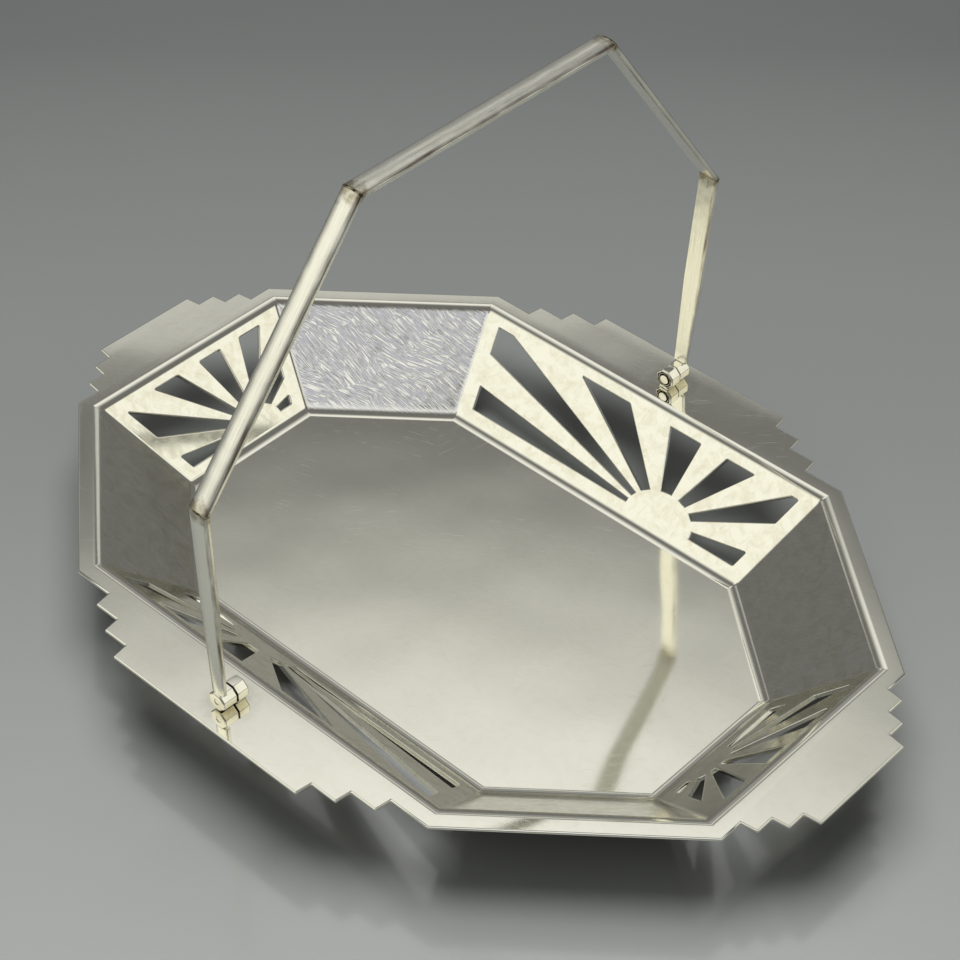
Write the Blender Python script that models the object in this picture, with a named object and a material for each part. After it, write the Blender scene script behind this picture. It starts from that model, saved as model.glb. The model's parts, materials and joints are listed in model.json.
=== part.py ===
"""Octagonal pierced basket with a swing handle of mitred strip.

The origin is at the centre of the floor's underside. X runs along the basket, Y across it and Z
up. The hinge axis is parallel to Y, just above the rim.
"""

import math

import bmesh
import bpy
from mathutils import Euler, Matrix, Vector

# Driving dimensions, in metres and radians.
LENGTH = 0.280                  # over the steps of the rim
WIDTH = 0.205
SHEET = 0.0012                  # thickness of the pressing
BOWL_DEPTH = 0.0237             # from the rim's top face to the floor's top face
FLANGE = 0.00625                # flat rim over the plain walls
WALL_RUN = 0.0267               # level distance that a wall covers between rim and floor
BEND_RADIUS = 0.0020            # top face of the bends at rim and floor
BEND_SEGMENTS = 3
CORNER_X = 0.0682               # where the long sides end, on the unstepped outline
CORNER_Y = 0.0396               # where the short sides end

STEP_COUNT = 3                  # steps at each end of a pierced side's rim
STEP_OUT = 0.0050
STEP_TAPER = 0.0007             # lean of each riser towards the middle of its side
LONG_STEPS = (0.0552, 0.0094)   # first riser from the middle of the side, then the pitch
SHORT_STEPS = (0.0320, 0.0066)

BORDER_TOP = 0.0042             # plain border around the rays, along the slope
BORDER_BOTTOM = 0.0051
BORDER_SIDE = 0.0050
LONG_SUN = (0.0234, 0.0123, 0.0086)     # offset from the panel's middle, half width, height
SHORT_SUN = (0.0073, 0.0088, 0.0063)
LONG_RAYS = ((0, 10), (27, 38), (53, 70), (91, 115), (137, 151), (161, 167.5), (174.5, 180))
SHORT_RAYS = ((0, 10.5), (27, 41), (54, 68), (85, 103), (120, 133), (146, 157.5), (171, 180))
CUT_REACH = 0.0040              # how far a ray's cutter stands out of both faces of its wall

AXIS_HEIGHT = 0.0034            # hinge axis over the rim's top face
LEAN = math.radians(2.2)        # handle at rest, tipped towards +X
LUG_START = 0.0880              # inner end of the fixed barrel, from the middle plane
LUG_LENGTH = 0.0038
LUG_FLATS = 0.0062              # across flats
HINGE_GAP = 0.0004              # between the fixed barrel and the handle's eye
EYE_LENGTH = 0.0047
EYE_FLATS = 0.0058
END_CHAMFER = 0.0005
PIN_RADIUS = 0.0018
RUNNING_CLEARANCE = 0.0001      # radial, pin in the fixed barrel
PIN_PROUD = 0.0002              # pin's end beyond the fixed barrel
EYE_END_WALL = 0.0012           # solid end of the eye's blind bore
ROUND_SEGMENTS = 32

LEG_FOOT_Y = 0.0954             # strip's centre line at the hinge axis
KNEE = (0.0988, 0.0711)         # across, and out from the hinge axis
TOP_CORNER = (0.0458, 0.1401)
STRIP_WIDTH = 0.0064
STRIP_FOOT_WIDTH = 0.0046
STRIP_EDGE = 0.0012             # thickness at the strip's edges
STRIP_CROWN = 0.0005            # extra thickness at the middle of the outer face
CROWN_SEGMENTS = 6
TAPER_PART = 0.40               # lower part of a leg that narrows
GAP = 0.0003                    # left between pieces that touch

# Worked out from the dimensions above.
HALF_X = LENGTH / 2 - STEP_COUNT * STEP_OUT
HALF_Y = WIDTH / 2 - STEP_COUNT * STEP_OUT
RIM_TOP = BOWL_DEPTH + SHEET
AXIS_Z = RIM_TOP + AXIS_HEIGHT
SLOPE_ANGLE = math.atan2(BOWL_DEPTH, WALL_RUN)
SLOPE_LENGTH = math.hypot(BOWL_DEPTH, WALL_RUN)
CORNER_TURN = math.atan2(HALF_Y - CORNER_Y, HALF_X - CORNER_X)
EYE_START = LUG_START + LUG_LENGTH + HINGE_GAP

SILVER = (0.83, 0.81, 0.77, 1.0)
PIN_METAL = (0.72, 0.70, 0.66, 1.0)
PLATE_ROUGHNESS = 0.22
PIN_ROUGHNESS = 0.30
SHARP_ANGLE = math.radians(40)


def clear_scene():
    for item in list(bpy.data.objects):
        bpy.data.objects.remove(item, do_unlink=True)


def metal(name, colour, roughness):
    material = bpy.data.materials.new(name)
    material.use_nodes = True
    shader = material.node_tree.nodes["Principled BSDF"]
    shader.inputs["Base Color"].default_value = colour
    shader.inputs["Roughness"].default_value = roughness
    shader.inputs["Metallic"].default_value = 1.0
    return material


def new_object(name, mesh_data, material=None, parent=None):
    mesh = bpy.data.meshes.new(name)
    bmesh.ops.recalc_face_normals(mesh_data, faces=mesh_data.faces)
    mesh_data.to_mesh(mesh)
    mesh_data.free()
    item = bpy.data.objects.new(name, mesh)
    bpy.context.scene.collection.objects.link(item)
    item.parent = parent
    if material:
        mesh.materials.append(material)
    return item


def octagon(inset):
    """Corners of the outline moved inwards by inset, counter-clockwise from the +X side's far end."""
    long_end = CORNER_X - inset * math.tan(CORNER_TURN / 2)
    short_end = CORNER_Y - inset * math.tan((math.pi / 2 - CORNER_TURN) / 2)
    x = HALF_X - inset
    y = HALF_Y - inset
    quarter = [(x, short_end), (long_end, y)]
    mirrored = [(-long_end, y), (-x, short_end)]
    half = quarter + mirrored
    return half + [(-px, -py) for px, py in half]


def arc(centre, radius, start, end, segments):
    """Points of an arc in the plane of a profile."""
    points = []
    for index in range(segments + 1):
        angle = start + (end - start) * index / segments
        points.append((centre[0] + radius * math.cos(angle), centre[1] + radius * math.sin(angle)))
    return points


def bowl_profile():
    """Top face from the rim to the floor, as pairs of inset and height."""
    tangent = BEND_RADIUS * math.tan(SLOPE_ANGLE / 2)
    rim_centre = (FLANGE - tangent, RIM_TOP - BEND_RADIUS)
    floor_centre = (FLANGE + WALL_RUN + tangent, SHEET + BEND_RADIUS)
    up = math.pi / 2
    rim = arc(rim_centre, BEND_RADIUS, up, up - SLOPE_ANGLE, BEND_SEGMENTS)
    floor = arc(floor_centre, BEND_RADIUS, -up - SLOPE_ANGLE, -up, BEND_SEGMENTS)
    return rim + floor


def stepped_edge(first, pitch, distance):
    """Rim outline of one pierced side, along the side and out from the middle, without its ends."""
    half = []
    for index in range(STEP_COUNT):
        along = first - index * pitch
        out = distance + index * STEP_OUT
        half.append((along, out))
        half.append((along - STEP_TAPER, out + STEP_OUT))
    return half + [(-along, out) for along, out in reversed(half)]


def rim_outline():
    """Outline of each of the eight sides, from its first corner up to the next one's."""
    corners = octagon(0.0)
    long_edge = stepped_edge(*LONG_STEPS, HALF_Y)
    short_edge = stepped_edge(*SHORT_STEPS, HALF_X)
    near = [(-along, -out) for along, out in long_edge]
    minus_x = [(-out, along) for along, out in short_edge]
    plus_x = [(out, -along) for along, out in short_edge]
    between = {1: long_edge, 3: minus_x, 5: near, 7: plus_x}
    return [[corners[index]] + between.get(index, []) for index in range(8)]


def add_ring(mesh_data, points, height):
    return [mesh_data.verts.new((x, y, height)) for x, y in points]


def bowl_surface():
    """Top face of the pressing, open at its outer edge."""
    mesh_data = bmesh.new()
    sides = [add_ring(mesh_data, side, RIM_TOP) for side in rim_outline()]
    rings = [add_ring(mesh_data, octagon(inset), height) for inset, height in bowl_profile()]
    for index in range(8):
        following = (index + 1) % 8
        outer = sides[index] + [sides[following][0]]
        mesh_data.faces.new(outer + [rings[0][following], rings[0][index]])
        for ring, lower in zip(rings, rings[1:]):
            mesh_data.faces.new((ring[index], ring[following], lower[following], lower[index]))
    mesh_data.faces.new(rings[-1])
    return mesh_data


def window(half_rim, half_loss):
    """Half width of the pierced area at a distance down the slope, as a function."""
    side = BORDER_SIDE * math.hypot(1.0, half_loss)

    def half_width(down):
        return half_rim - half_loss * down - side

    return half_width


def ray_outline(angles, sun, half_width):
    """Corners of one ray, as pairs of distance along the wall and down its slope."""
    offset, sun_width, sun_height = sun
    bottom = SLOPE_LENGTH - BORDER_BOTTOM
    lean = (half_width(0.0) - half_width(bottom)) / bottom
    first, last = [math.radians(angle) for angle in angles]

    def border(angle):
        across = math.cos(angle)
        rise = math.sin(angle)
        side = 1.0 if across >= 0.0 else -1.0
        reach = (half_width(bottom) - side * offset) / (side * across - lean * rise)
        if rise > 0.0 and (reach < 0.0 or reach * rise > bottom - BORDER_TOP):
            reach = (bottom - BORDER_TOP) / rise
        return (offset + reach * across, bottom - reach * rise)

    def sun_edge(angle):
        reach = 1.0 / math.hypot(math.cos(angle) / sun_width, math.sin(angle) / sun_height)
        return (offset + reach * math.cos(angle), bottom - reach * math.sin(angle))

    outline = [sun_edge(last), sun_edge((first + last) / 2), sun_edge(first), border(first)]
    for side in (1, -1):
        corner = (side * half_width(BORDER_TOP), BORDER_TOP)
        turn = math.atan2(bottom - corner[1], corner[0] - offset)
        if first < turn < last:
            outline.append(corner)
    outline.append(border(last))
    return outline


def panel_frame(turn, distance):
    """Matrix of a wall: X along it, Y down its slope and Z into its back."""
    along = Vector((1.0, 0.0, 0.0))
    down = Vector((0.0, -math.cos(SLOPE_ANGLE), -math.sin(SLOPE_ANGLE)))
    back = along.cross(down)
    frame = Matrix((along, down, back)).transposed().to_4x4()
    frame.translation = (0.0, distance - FLANGE, RIM_TOP)
    return Matrix.Rotation(turn, 4, "Z") @ frame


def add_prism(mesh_data, outline, frame):
    front = [mesh_data.verts.new(frame @ Vector((u, v, -CUT_REACH))) for u, v in outline]
    back = [mesh_data.verts.new(frame @ Vector((u, v, CUT_REACH))) for u, v in outline]
    mesh_data.faces.new(front)
    mesh_data.faces.new(reversed(back))
    count = len(outline)
    for index in range(count):
        following = (index + 1) % count
        mesh_data.faces.new((front[index], back[index], back[following], front[following]))


def ray_cutter():
    """Every ray of the four pierced walls, as one guide object."""
    mesh_data = bmesh.new()
    rim = octagon(FLANGE)
    floor = octagon(FLANGE + WALL_RUN)
    panels = (
        (0.0, HALF_Y, rim[1][0], floor[1][0], LONG_SUN, LONG_RAYS),
        (math.pi / 2, HALF_X, rim[0][1], floor[0][1], SHORT_SUN, SHORT_RAYS),
    )
    for turn, distance, half_rim, half_floor, sun, rays in panels:
        half_width = window(half_rim, (half_rim - half_floor) / SLOPE_LENGTH)
        for half_turn in (0.0, math.pi):
            frame = panel_frame(turn + half_turn, distance)
            for angles in rays:
                add_prism(mesh_data, ray_outline(angles, sun, half_width), frame)
    cutter = new_object("ray_cutter", mesh_data)
    cutter.hide_render = True
    cutter.display_type = "WIRE"
    return cutter


def make_bowl():
    bowl = new_object("bowl", bowl_surface(), metal("bowl_plate", SILVER, PLATE_ROUGHNESS))
    thickness = bowl.modifiers.new("Thickness", "SOLIDIFY")
    thickness.thickness = SHEET
    thickness.offset = -1.0
    thickness.use_even_offset = True
    piercing = bowl.modifiers.new("Piercing", "BOOLEAN")
    piercing.operation = "DIFFERENCE"
    piercing.solver = "EXACT"
    piercing.object = ray_cutter()


def polygon(count, radius, phase):
    return [(radius * math.cos(phase + 2 * math.pi * index / count),
             radius * math.sin(phase + 2 * math.pi * index / count)) for index in range(count)]


def octagonal_section(flats, shrink=0.0):
    """Eight corners around the hinge axis, with flats at the top and the bottom."""
    radius = (flats / 2 - shrink) / math.cos(math.pi / 8)
    return polygon(8, radius, math.pi / 8)


def section_ring(mesh_data, section, y):
    return [mesh_data.verts.new((x, y, z)) for x, z in section]


def join_rings(mesh_data, rings):
    for ring, following in zip(rings, rings[1:]):
        count = len(ring)
        for index in range(count):
            after = (index + 1) % count
            mesh_data.faces.new((ring[index], ring[after], following[after], following[index]))


def fill_annulus(mesh_data, outer, inner):
    """Flat end face between an eight-sided edge and a round bore."""
    edges = [mesh_data.edges.get((ring[i], ring[(i + 1) % len(ring)]))
             for ring in (outer, inner) for i in range(len(ring))]
    bmesh.ops.triangle_fill(mesh_data, edges=edges, use_beauty=True, use_dissolve=False)


def make_lug(name, side, material):
    """Fixed barrel with a running bore."""
    mesh_data = bmesh.new()
    start = side * LUG_START
    end = side * (LUG_START + LUG_LENGTH)
    bevel = side * END_CHAMFER
    outer = [
        section_ring(mesh_data, octagonal_section(LUG_FLATS, END_CHAMFER), start),
        section_ring(mesh_data, octagonal_section(LUG_FLATS), start + bevel),
        section_ring(mesh_data, octagonal_section(LUG_FLATS), end),
    ]
    bore = polygon(ROUND_SEGMENTS, PIN_RADIUS + RUNNING_CLEARANCE, 0.0)
    inner = [section_ring(mesh_data, bore, start), section_ring(mesh_data, bore, end)]
    join_rings(mesh_data, outer)
    join_rings(mesh_data, inner)
    fill_annulus(mesh_data, outer[0], inner[0])
    fill_annulus(mesh_data, outer[-1], inner[-1])
    lug = new_object(name, mesh_data, material)
    lug.location = (0.0, 0.0, AXIS_Z)


def make_eye(name, side, material, handle):
    """Barrel at the foot of a leg, with a blind bore that holds the pin."""
    mesh_data = bmesh.new()
    start = side * EYE_START
    end = side * (EYE_START + EYE_LENGTH)
    bevel = side * END_CHAMFER
    outer = [
        section_ring(mesh_data, octagonal_section(EYE_FLATS), start),
        section_ring(mesh_data, octagonal_section(EYE_FLATS), end - bevel),
        section_ring(mesh_data, octagonal_section(EYE_FLATS, END_CHAMFER), end),
    ]
    bore = polygon(ROUND_SEGMENTS, PIN_RADIUS + GAP, 0.0)
    bottom = end - side * EYE_END_WALL
    inner = [section_ring(mesh_data, bore, start), section_ring(mesh_data, bore, bottom)]
    join_rings(mesh_data, outer)
    join_rings(mesh_data, inner)
    fill_annulus(mesh_data, outer[0], inner[0])
    mesh_data.faces.new(outer[-1])
    mesh_data.faces.new(inner[-1])
    new_object(name, mesh_data, material, handle)


def make_pin(name, side, material, handle):
    mesh_data = bmesh.new()
    section = polygon(ROUND_SEGMENTS, PIN_RADIUS, 0.0)
    start = side * (LUG_START - PIN_PROUD)
    end = side * (EYE_START + EYE_LENGTH - EYE_END_WALL - GAP)
    rings = [section_ring(mesh_data, section, start), section_ring(mesh_data, section, end)]
    join_rings(mesh_data, rings)
    mesh_data.faces.new(rings[0])
    mesh_data.faces.new(rings[-1])
    pin = new_object(name, mesh_data, material, handle)
    pin.data.shade_smooth()
    pin.data.set_sharp_from_angle(angle=SHARP_ANGLE)


def strip_section(width):
    """Strip's section: across the strip, and out from its centre line."""
    half = width / 2
    edge = STRIP_EDGE / 2
    section = [(-half, -edge), (half, -edge)]
    for index in range(CROWN_SEGMENTS + 1):
        across = 1.0 - 2.0 * index / CROWN_SEGMENTS
        section.append((half * across, edge + STRIP_CROWN * (1.0 - across * across)))
    return section


def strip_ring(mesh_data, point, width, cut_normal, direction, shift):
    """Ring where a strip is cut by the plane through point with the given normal."""
    outward = Vector((-direction.y, direction.x))
    ring = []
    for across, out in strip_section(width):
        offset = outward * out
        along = (shift - offset.dot(cut_normal)) / direction.dot(cut_normal)
        place = point + offset + direction * along
        ring.append(mesh_data.verts.new((across, place.x, place.y)))
    return ring


def make_strip(name, stations, start_normal, end_normal, material, handle):
    """Straight length of strip through (point, width) stations, cut at both ends."""
    mesh_data = bmesh.new()
    direction = (stations[-1][0] - stations[0][0]).normalized()
    normals = [direction] * len(stations)
    normals[0] = start_normal
    normals[-1] = end_normal
    shifts = [0.0] * len(stations)
    shifts[0] = GAP / 2
    shifts[-1] = -GAP / 2
    rings = []
    for (point, width), normal, shift in zip(stations, normals, shifts):
        rings.append(strip_ring(mesh_data, point, width, normal, direction, shift))
    join_rings(mesh_data, rings)
    mesh_data.faces.new(rings[0])
    mesh_data.faces.new(rings[-1])
    new_object(name, mesh_data, material, handle)


def make_handle(handle):
    """Five lengths of strip, from the left leg over the top to the right leg."""
    foot = LEG_FOOT_Y
    path = [Vector((-foot, 0.0)), Vector((-KNEE[0], KNEE[1])), Vector((-TOP_CORNER[0], TOP_CORNER[1]))]
    path += [Vector((-point.x, point.y)) for point in reversed(path)]
    runs = [(end - start).normalized() for start, end in zip(path, path[1:])]
    mitres = [(before + after).normalized() for before, after in zip(runs, runs[1:])]
    cuts = [Vector((0.0, 1.0))] + mitres + [Vector((0.0, -1.0))]
    names = ("leg_left", "shoulder_left", "handle_top", "shoulder_right", "leg_right")
    foot_height = EYE_FLATS / 2 + GAP / 2
    for index, name in enumerate(names):
        start = path[index]
        end = path[index + 1]
        stations = [(start, STRIP_WIDTH), (end, STRIP_WIDTH)]
        if index == 0:
            low = start + runs[index] * (foot_height / runs[index].y)
            stations = [(low, STRIP_FOOT_WIDTH), (low.lerp(end, TAPER_PART), STRIP_WIDTH), stations[1]]
        if index == 4:
            low = end + runs[index] * (foot_height / runs[index].y)
            stations = [stations[0], (low.lerp(start, TAPER_PART), STRIP_WIDTH), (low, STRIP_FOOT_WIDTH)]
        material = metal(name + "_plate", SILVER, PLATE_ROUGHNESS)
        make_strip(name, stations, cuts[index], cuts[index + 1], material, handle)


def main():
    clear_scene()
    make_bowl()
    handle = bpy.data.objects.new("handle_axis", None)
    bpy.context.scene.collection.objects.link(handle)
    handle.location = (0.0, 0.0, AXIS_Z)
    handle.rotation_euler = Euler((0.0, LEAN, 0.0))
    for label, side in (("left", -1), ("right", 1)):
        make_lug("lug_" + label, side, metal("lug_" + label + "_plate", SILVER, PLATE_ROUGHNESS))
        make_eye("eye_" + label, side, metal("eye_" + label + "_plate", SILVER, PLATE_ROUGHNESS), handle)
        make_pin("pin_" + label, side, metal("pin_" + label + "_metal", PIN_METAL, PIN_ROUGHNESS), handle)
    make_handle(handle)


main()
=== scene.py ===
"""Octagonal pierced basket in electroplated nickel silver, with a swing handle of mitred strip.

Builds the finished surface of the basket around its solid model, one operator for each kind of piece. The
origin is at the centre of the floor's underside, X runs along the basket, Y across it and Z up.
"""

import json
import math

import bmesh
import bpy
from bmesh.types import BMEdge, BMFace, BMVert
from bpy.props import FloatProperty, FloatVectorProperty, PointerProperty
from mathutils import Matrix, Vector, noise


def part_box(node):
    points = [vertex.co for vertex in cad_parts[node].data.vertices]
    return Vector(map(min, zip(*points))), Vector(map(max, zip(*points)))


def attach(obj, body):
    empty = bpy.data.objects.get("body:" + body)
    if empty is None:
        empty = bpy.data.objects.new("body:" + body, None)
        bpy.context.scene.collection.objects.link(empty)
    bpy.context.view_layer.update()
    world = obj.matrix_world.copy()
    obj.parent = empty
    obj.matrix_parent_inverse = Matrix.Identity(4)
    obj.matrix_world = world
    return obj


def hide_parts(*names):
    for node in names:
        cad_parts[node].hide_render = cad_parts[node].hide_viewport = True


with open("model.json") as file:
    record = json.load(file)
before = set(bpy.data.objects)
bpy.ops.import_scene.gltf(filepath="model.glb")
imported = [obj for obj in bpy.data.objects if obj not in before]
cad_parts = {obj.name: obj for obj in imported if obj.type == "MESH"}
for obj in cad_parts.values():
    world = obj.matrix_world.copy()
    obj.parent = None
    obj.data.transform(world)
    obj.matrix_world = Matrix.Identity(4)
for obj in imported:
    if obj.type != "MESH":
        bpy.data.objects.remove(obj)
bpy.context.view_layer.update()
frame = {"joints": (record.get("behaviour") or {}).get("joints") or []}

bl_info = {
    "name": "Sunburst Basket",
    "version": (1, 0, 0),
    "blender": (4, 5, 0),
    "location": "View3D > Sidebar > Basket",
    "description": "Builds a pierced octagonal basket with a swing handle",
    "category": "Add Mesh",
}

AXIS_Z = frame["joints"][0]["pos_m"][2]     # height of the hinge axis
BOWL_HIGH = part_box("bowl")[1]
RIM_TOP = BOWL_HIGH.z
HINGE_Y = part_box("eye_right")[0].y          # where the eye meets the fixed barrel
SIDES = (("left", -1), ("right", 1))
STRIPS = ("leg_left", "shoulder_left", "handle_top", "shoulder_right", "leg_right")
SMOOTH_BELOW = math.radians(32)             # sharper edges than this stay crisp
SHARP_ABOVE = math.radians(35)              # sharper edges than this are rounded on the handle
BEND_ABOVE = 0.1                            # radians between two faces that meet at a bend of the sheet
NEAR_AXIS = 0.001                           # the middle of a stepped side is this near to an axis
FACE_WEIGHT = 90                            # how strongly large faces keep their own shading
ROUND = 48                                  # sides of a round bar
STEPS = 3                                   # steps of the rim beside each pierced wall
SUN_POINTS = 5                              # points of each ray's end along the sun
ROLL_STEPS = 5                              # steps of the rounding that a punch leaves
CROWN_STEPS = 14                            # steps across the strip's crowned face
SLACK = 0.0001                              # between pieces that nearly touch
PUNCH_REACH = 0.004                         # how far a punch stands out of the sheet
BORE_REACH = 0.010                          # how far the bore's guide reaches both ways from the lug's end
SPARE_LENGTH = 0.006                        # strip past each corner, cut off at the mitre
MITRE_GAP = 0.0001                          # between a strip's end and the middle of its mitre

# Solder under a fixed barrel: its width at the rim, the share of that at the barrel, how far it reaches
# up the barrel, and the spacing and the height of its lumps.
SOLDER_WIDTH = 0.0036
SOLDER_NARROWING = 0.72
SOLDER_REACH = 0.0008
LUMP_SPACING = 0.0012
LUMP_HEIGHT = 0.00012
LUMP_SEED = 1                               # without a seed the lumps would differ in each run

# Sun of a long and of a short wall: its place along the wall, half its width and its height.
LONG_SUN = (0.0234, 0.0123, 0.0086)
SHORT_SUN = (0.0073, 0.0088, 0.0063)

# Rays of a long and of a short wall: first and last edge of each, as degrees around the sun's centre.
LONG_RAYS = ((0, 10), (27, 38), (53, 70), (91, 115), (137, 151), (161, 167.5), (174.5, 180))
SHORT_RAYS = ((0, 10.5), (27, 41), (54, 68), (85, 103), (120, 133), (146, 157.5), (171, 180))


def linear(hex_colour):
    """Linear colour of an sRGB hex value."""
    channels = [int(hex_colour[index:index + 2], 16) / 255 for index in (0, 2, 4)]
    return [c / 12.92 if c <= 0.04045 else ((c + 0.055) / 1.055) ** 2.4 for c in channels]


def length_property(name, description, default):
    return FloatProperty(name=name, description=description, default=default, min=0.0,
                         subtype="DISTANCE", unit="LENGTH", precision=5)


def angle_property(name, description, degrees):
    return FloatProperty(name=name, description=description, default=math.radians(degrees),
                         subtype="ANGLE", unit="ROTATION")


def colour_property(name, description, hex_colour):
    return FloatVectorProperty(name=name, description=description, default=linear(hex_colour),
                               size=3, min=0.0, max=1.0, subtype="COLOR")


class BasketBowlSizes(bpy.types.PropertyGroup):
    """Sizes of the pressed and pierced bowl."""

    sheet: length_property("Sheet", "Thickness of the pressing", 0.0012)
    flange: length_property("Flange", "Width of the flat rim over the plain walls", 0.00625)
    wall_run: length_property("Wall Run", "Level distance that a wall covers", 0.0267)
    corner_x: length_property("Long Side", "Half of a long side, at the rim", 0.0682)
    corner_y: length_property("Short Side", "Half of a short side, at the rim", 0.0396)
    floor_bend: length_property("Floor Bend", "Set-back of the bend around the floor", 0.0022)
    rim_bend: length_property("Rim Bend", "Set-back of the bend under the flange", 0.0020)
    fold: length_property("Wall Fold", "Set-back of the folds between walls", 0.0009)
    edge: length_property("Edge", "Rounding of the sheet's cut edge", 0.00055)
    step_out: length_property("Step", "How far each step of the rim stands out", 0.0050)
    step_taper: length_property("Step Taper", "Lean of each riser", 0.0007)
    long_step: length_property("Long Steps", "First riser of a long side, from its middle", 0.0552)
    long_pitch: length_property("Long Step Pitch", "Between the risers of a long side", 0.0094)
    short_step: length_property("Short Steps", "First riser of a short side, from its middle", 0.0320)
    short_pitch: length_property("Short Step Pitch", "Between the risers of a short side", 0.0066)
    border_top: length_property("Top Border", "Plain strip over the rays", 0.0042)
    border_bottom: length_property("Bottom Border", "Plain strip under the rays", 0.0051)
    border_side: length_property("Side Border", "Plain strip beside the rays", 0.0050)
    roll: length_property("Die Roll", "Width of the rounding that the punch leaves", 0.00050)
    roll_depth: length_property("Die Roll Depth", "How far that rounding sinks", 0.00026)
    ray_corner: length_property("Ray Corner", "Set-back of the rays' rounded corners", 0.00040)


class BasketHandleSizes(bpy.types.PropertyGroup):
    """Sizes of the hinges and of the handle's strip."""

    lean: angle_property("Lean", "Tip of the handle at rest", 2.2)
    lug_start: length_property("Barrel Start", "Inner end of the fixed barrel", 0.0880)
    lug_length: length_property("Barrel Length", "Length of the fixed barrel", 0.0038)
    lug_flats: length_property("Barrel Flats", "Fixed barrel across its flats", 0.0062)
    hinge_gap: length_property("Hinge Gap", "Between the barrel and the eye", 0.0004)
    eye_length: length_property("Eye Length", "Length of the handle's eye", 0.0047)
    eye_flats: length_property("Eye Flats", "Eye across its flats", 0.0058)
    chamfer: length_property("Chamfer", "Chamfer of the barrels' ends", 0.0005)
    pin_radius: length_property("Pin Radius", "Radius of the hinge pin", 0.00155)
    pin_proud: length_property("Pin Proud", "How far the pin stands out of the fixed barrel", 0.0002)
    pin_short: length_property("Pin Short", "Wall of the eye beyond the pin", 0.0015)
    pin_round: length_property("Pin Rounding", "Rounding of the pin's ends", 0.00016)
    bore_radius: length_property("Bore Radius", "Radius of the barrel's bore", 0.0020)
    barrel_round: length_property("Barrel Rounding", "Rounding of the barrels' edges", 0.00014)
    eye_ring: length_property("Eye Ring", "Flat ring around the dimple in an eye's end", 0.0014)
    dimple_slope: length_property("Dimple Slope", "Width of the dimple's slope", 0.0003)
    dimple_depth: length_property("Dimple Depth", "Depth of that dimple", 0.00025)
    foot_y: length_property("Foot", "Strip's centre line at the hinge axis", 0.0954)
    knee_y: length_property("Knee Across", "Knee's distance from the middle plane", 0.0988)
    knee_z: length_property("Knee Height", "Knee's height over the hinge axis", 0.0711)
    top_y: length_property("Top Across", "Top corner's distance from the middle plane", 0.0458)
    top_z: length_property("Top Height", "Top corner's height over the hinge axis", 0.1401)
    strip_width: length_property("Strip Width", "Width of the strip", 0.0064)
    foot_width: length_property("Foot Width", "Width of the strip at its foot", 0.0046)
    strip_edge: length_property("Strip Edge", "Thickness at the strip's edges", 0.0012)
    crown: length_property("Crown", "Extra thickness in the middle of the strip", 0.0005)
    strip_round: length_property("Strip Rounding", "Rounding of the strip's long edges", 0.00022)
    eye_depth: length_property("Eye Depth", "Part of a leg that its eye takes up", 0.003)
    taper: FloatProperty(name="Taper", description="Share of a leg that narrows", default=0.4)
    bead: length_property("Bead", "Thickness of the solder in a mitre", 0.0007)
    bead_proud: length_property("Bead Proud", "How far that solder stands out of the strip", 0.00004)
    bead_round: length_property("Bead Rounding", "Rounding of that solder's edges", 0.00025)


class BasketFinish(bpy.types.PropertyGroup):
    """Colours of the metals, and of the painted shade on the plain walls and in the hinge bores."""

    plate: colour_property("Plate", "Clean silver plate", "F5F3E6")
    tarnish: colour_property("Tarnish", "Thin straw tarnish on the plate", "D9D3BA")
    # Painted shade: a lilac grey laid on the plain walls for the darker, lilac reflection they show.
    lilac_painted_shade: colour_property("Film", "Lilac film on the plain walls", "BFBEC0")
    heated: colour_property("Heat Tint", "Olive tarnish beside the soldered joints", "A39A7E")
    sulphide: colour_property("Dark Tarnish", "Old tarnish left beside edges and joints", "523529")
    flux: colour_property("Flux", "Burnt flux on the solder", "4A4234")
    solder: colour_property("Solder", "Silver solder at the mitres", "B4AD92")
    # Painted shade as well as grime: the near-black lining of the hinge bores.
    bore_grime_and_shade: colour_property("Recess", "Grime in the hinge", "2A251F")


class BasketStudio(bpy.types.PropertyGroup):
    """Table, light and camera."""

    # The board's two colours hold painted light: lighter in front, and a painted shade behind the basket.
    table: colour_property("Table", "Satin board in front of the basket", "6F716F")
    table_behind_painted_shade: colour_property("Table Behind", "The same board behind the basket", "3A3C3B")
    distance: length_property("Distance", "Camera to the point it looks at", 0.7124)
    azimuth: angle_property("Azimuth", "Camera's turn from the -Y side towards +X", 42.59)
    elevation: angle_property("Elevation", "Camera's height as an angle", 41.67)
    roll: angle_property("Roll", "Camera's tilt to one side", 0.50)
    lens: FloatProperty(name="Lens", description="Focal length in millimetres", default=91.02)


def fill_inputs(node, inputs):
    """Gives the inputs of a node values, sockets, or the first results of other nodes."""
    for name, value in inputs.items():
        if isinstance(value, bpy.types.Node):
            value = value.outputs[0]
        if isinstance(value, bpy.types.NodeSocket):
            node.id_data.links.new(value, node.inputs[name])
        else:
            node.inputs[name].default_value = value


def add_node(tree, kind, inputs=None, **settings):
    """Adds a shader node with its settings and its inputs."""
    node = tree.nodes.new("ShaderNode" + kind)
    for name, value in settings.items():
        setattr(node, name, value)
    fill_inputs(node, inputs or {})
    return node


def new_material(name):
    """A material, its node tree, and its shader, which is still plain."""
    material = bpy.data.materials.new(name)
    material.use_nodes = True
    tree = material.node_tree
    return material, tree, tree.nodes["Principled BSDF"]


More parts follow.
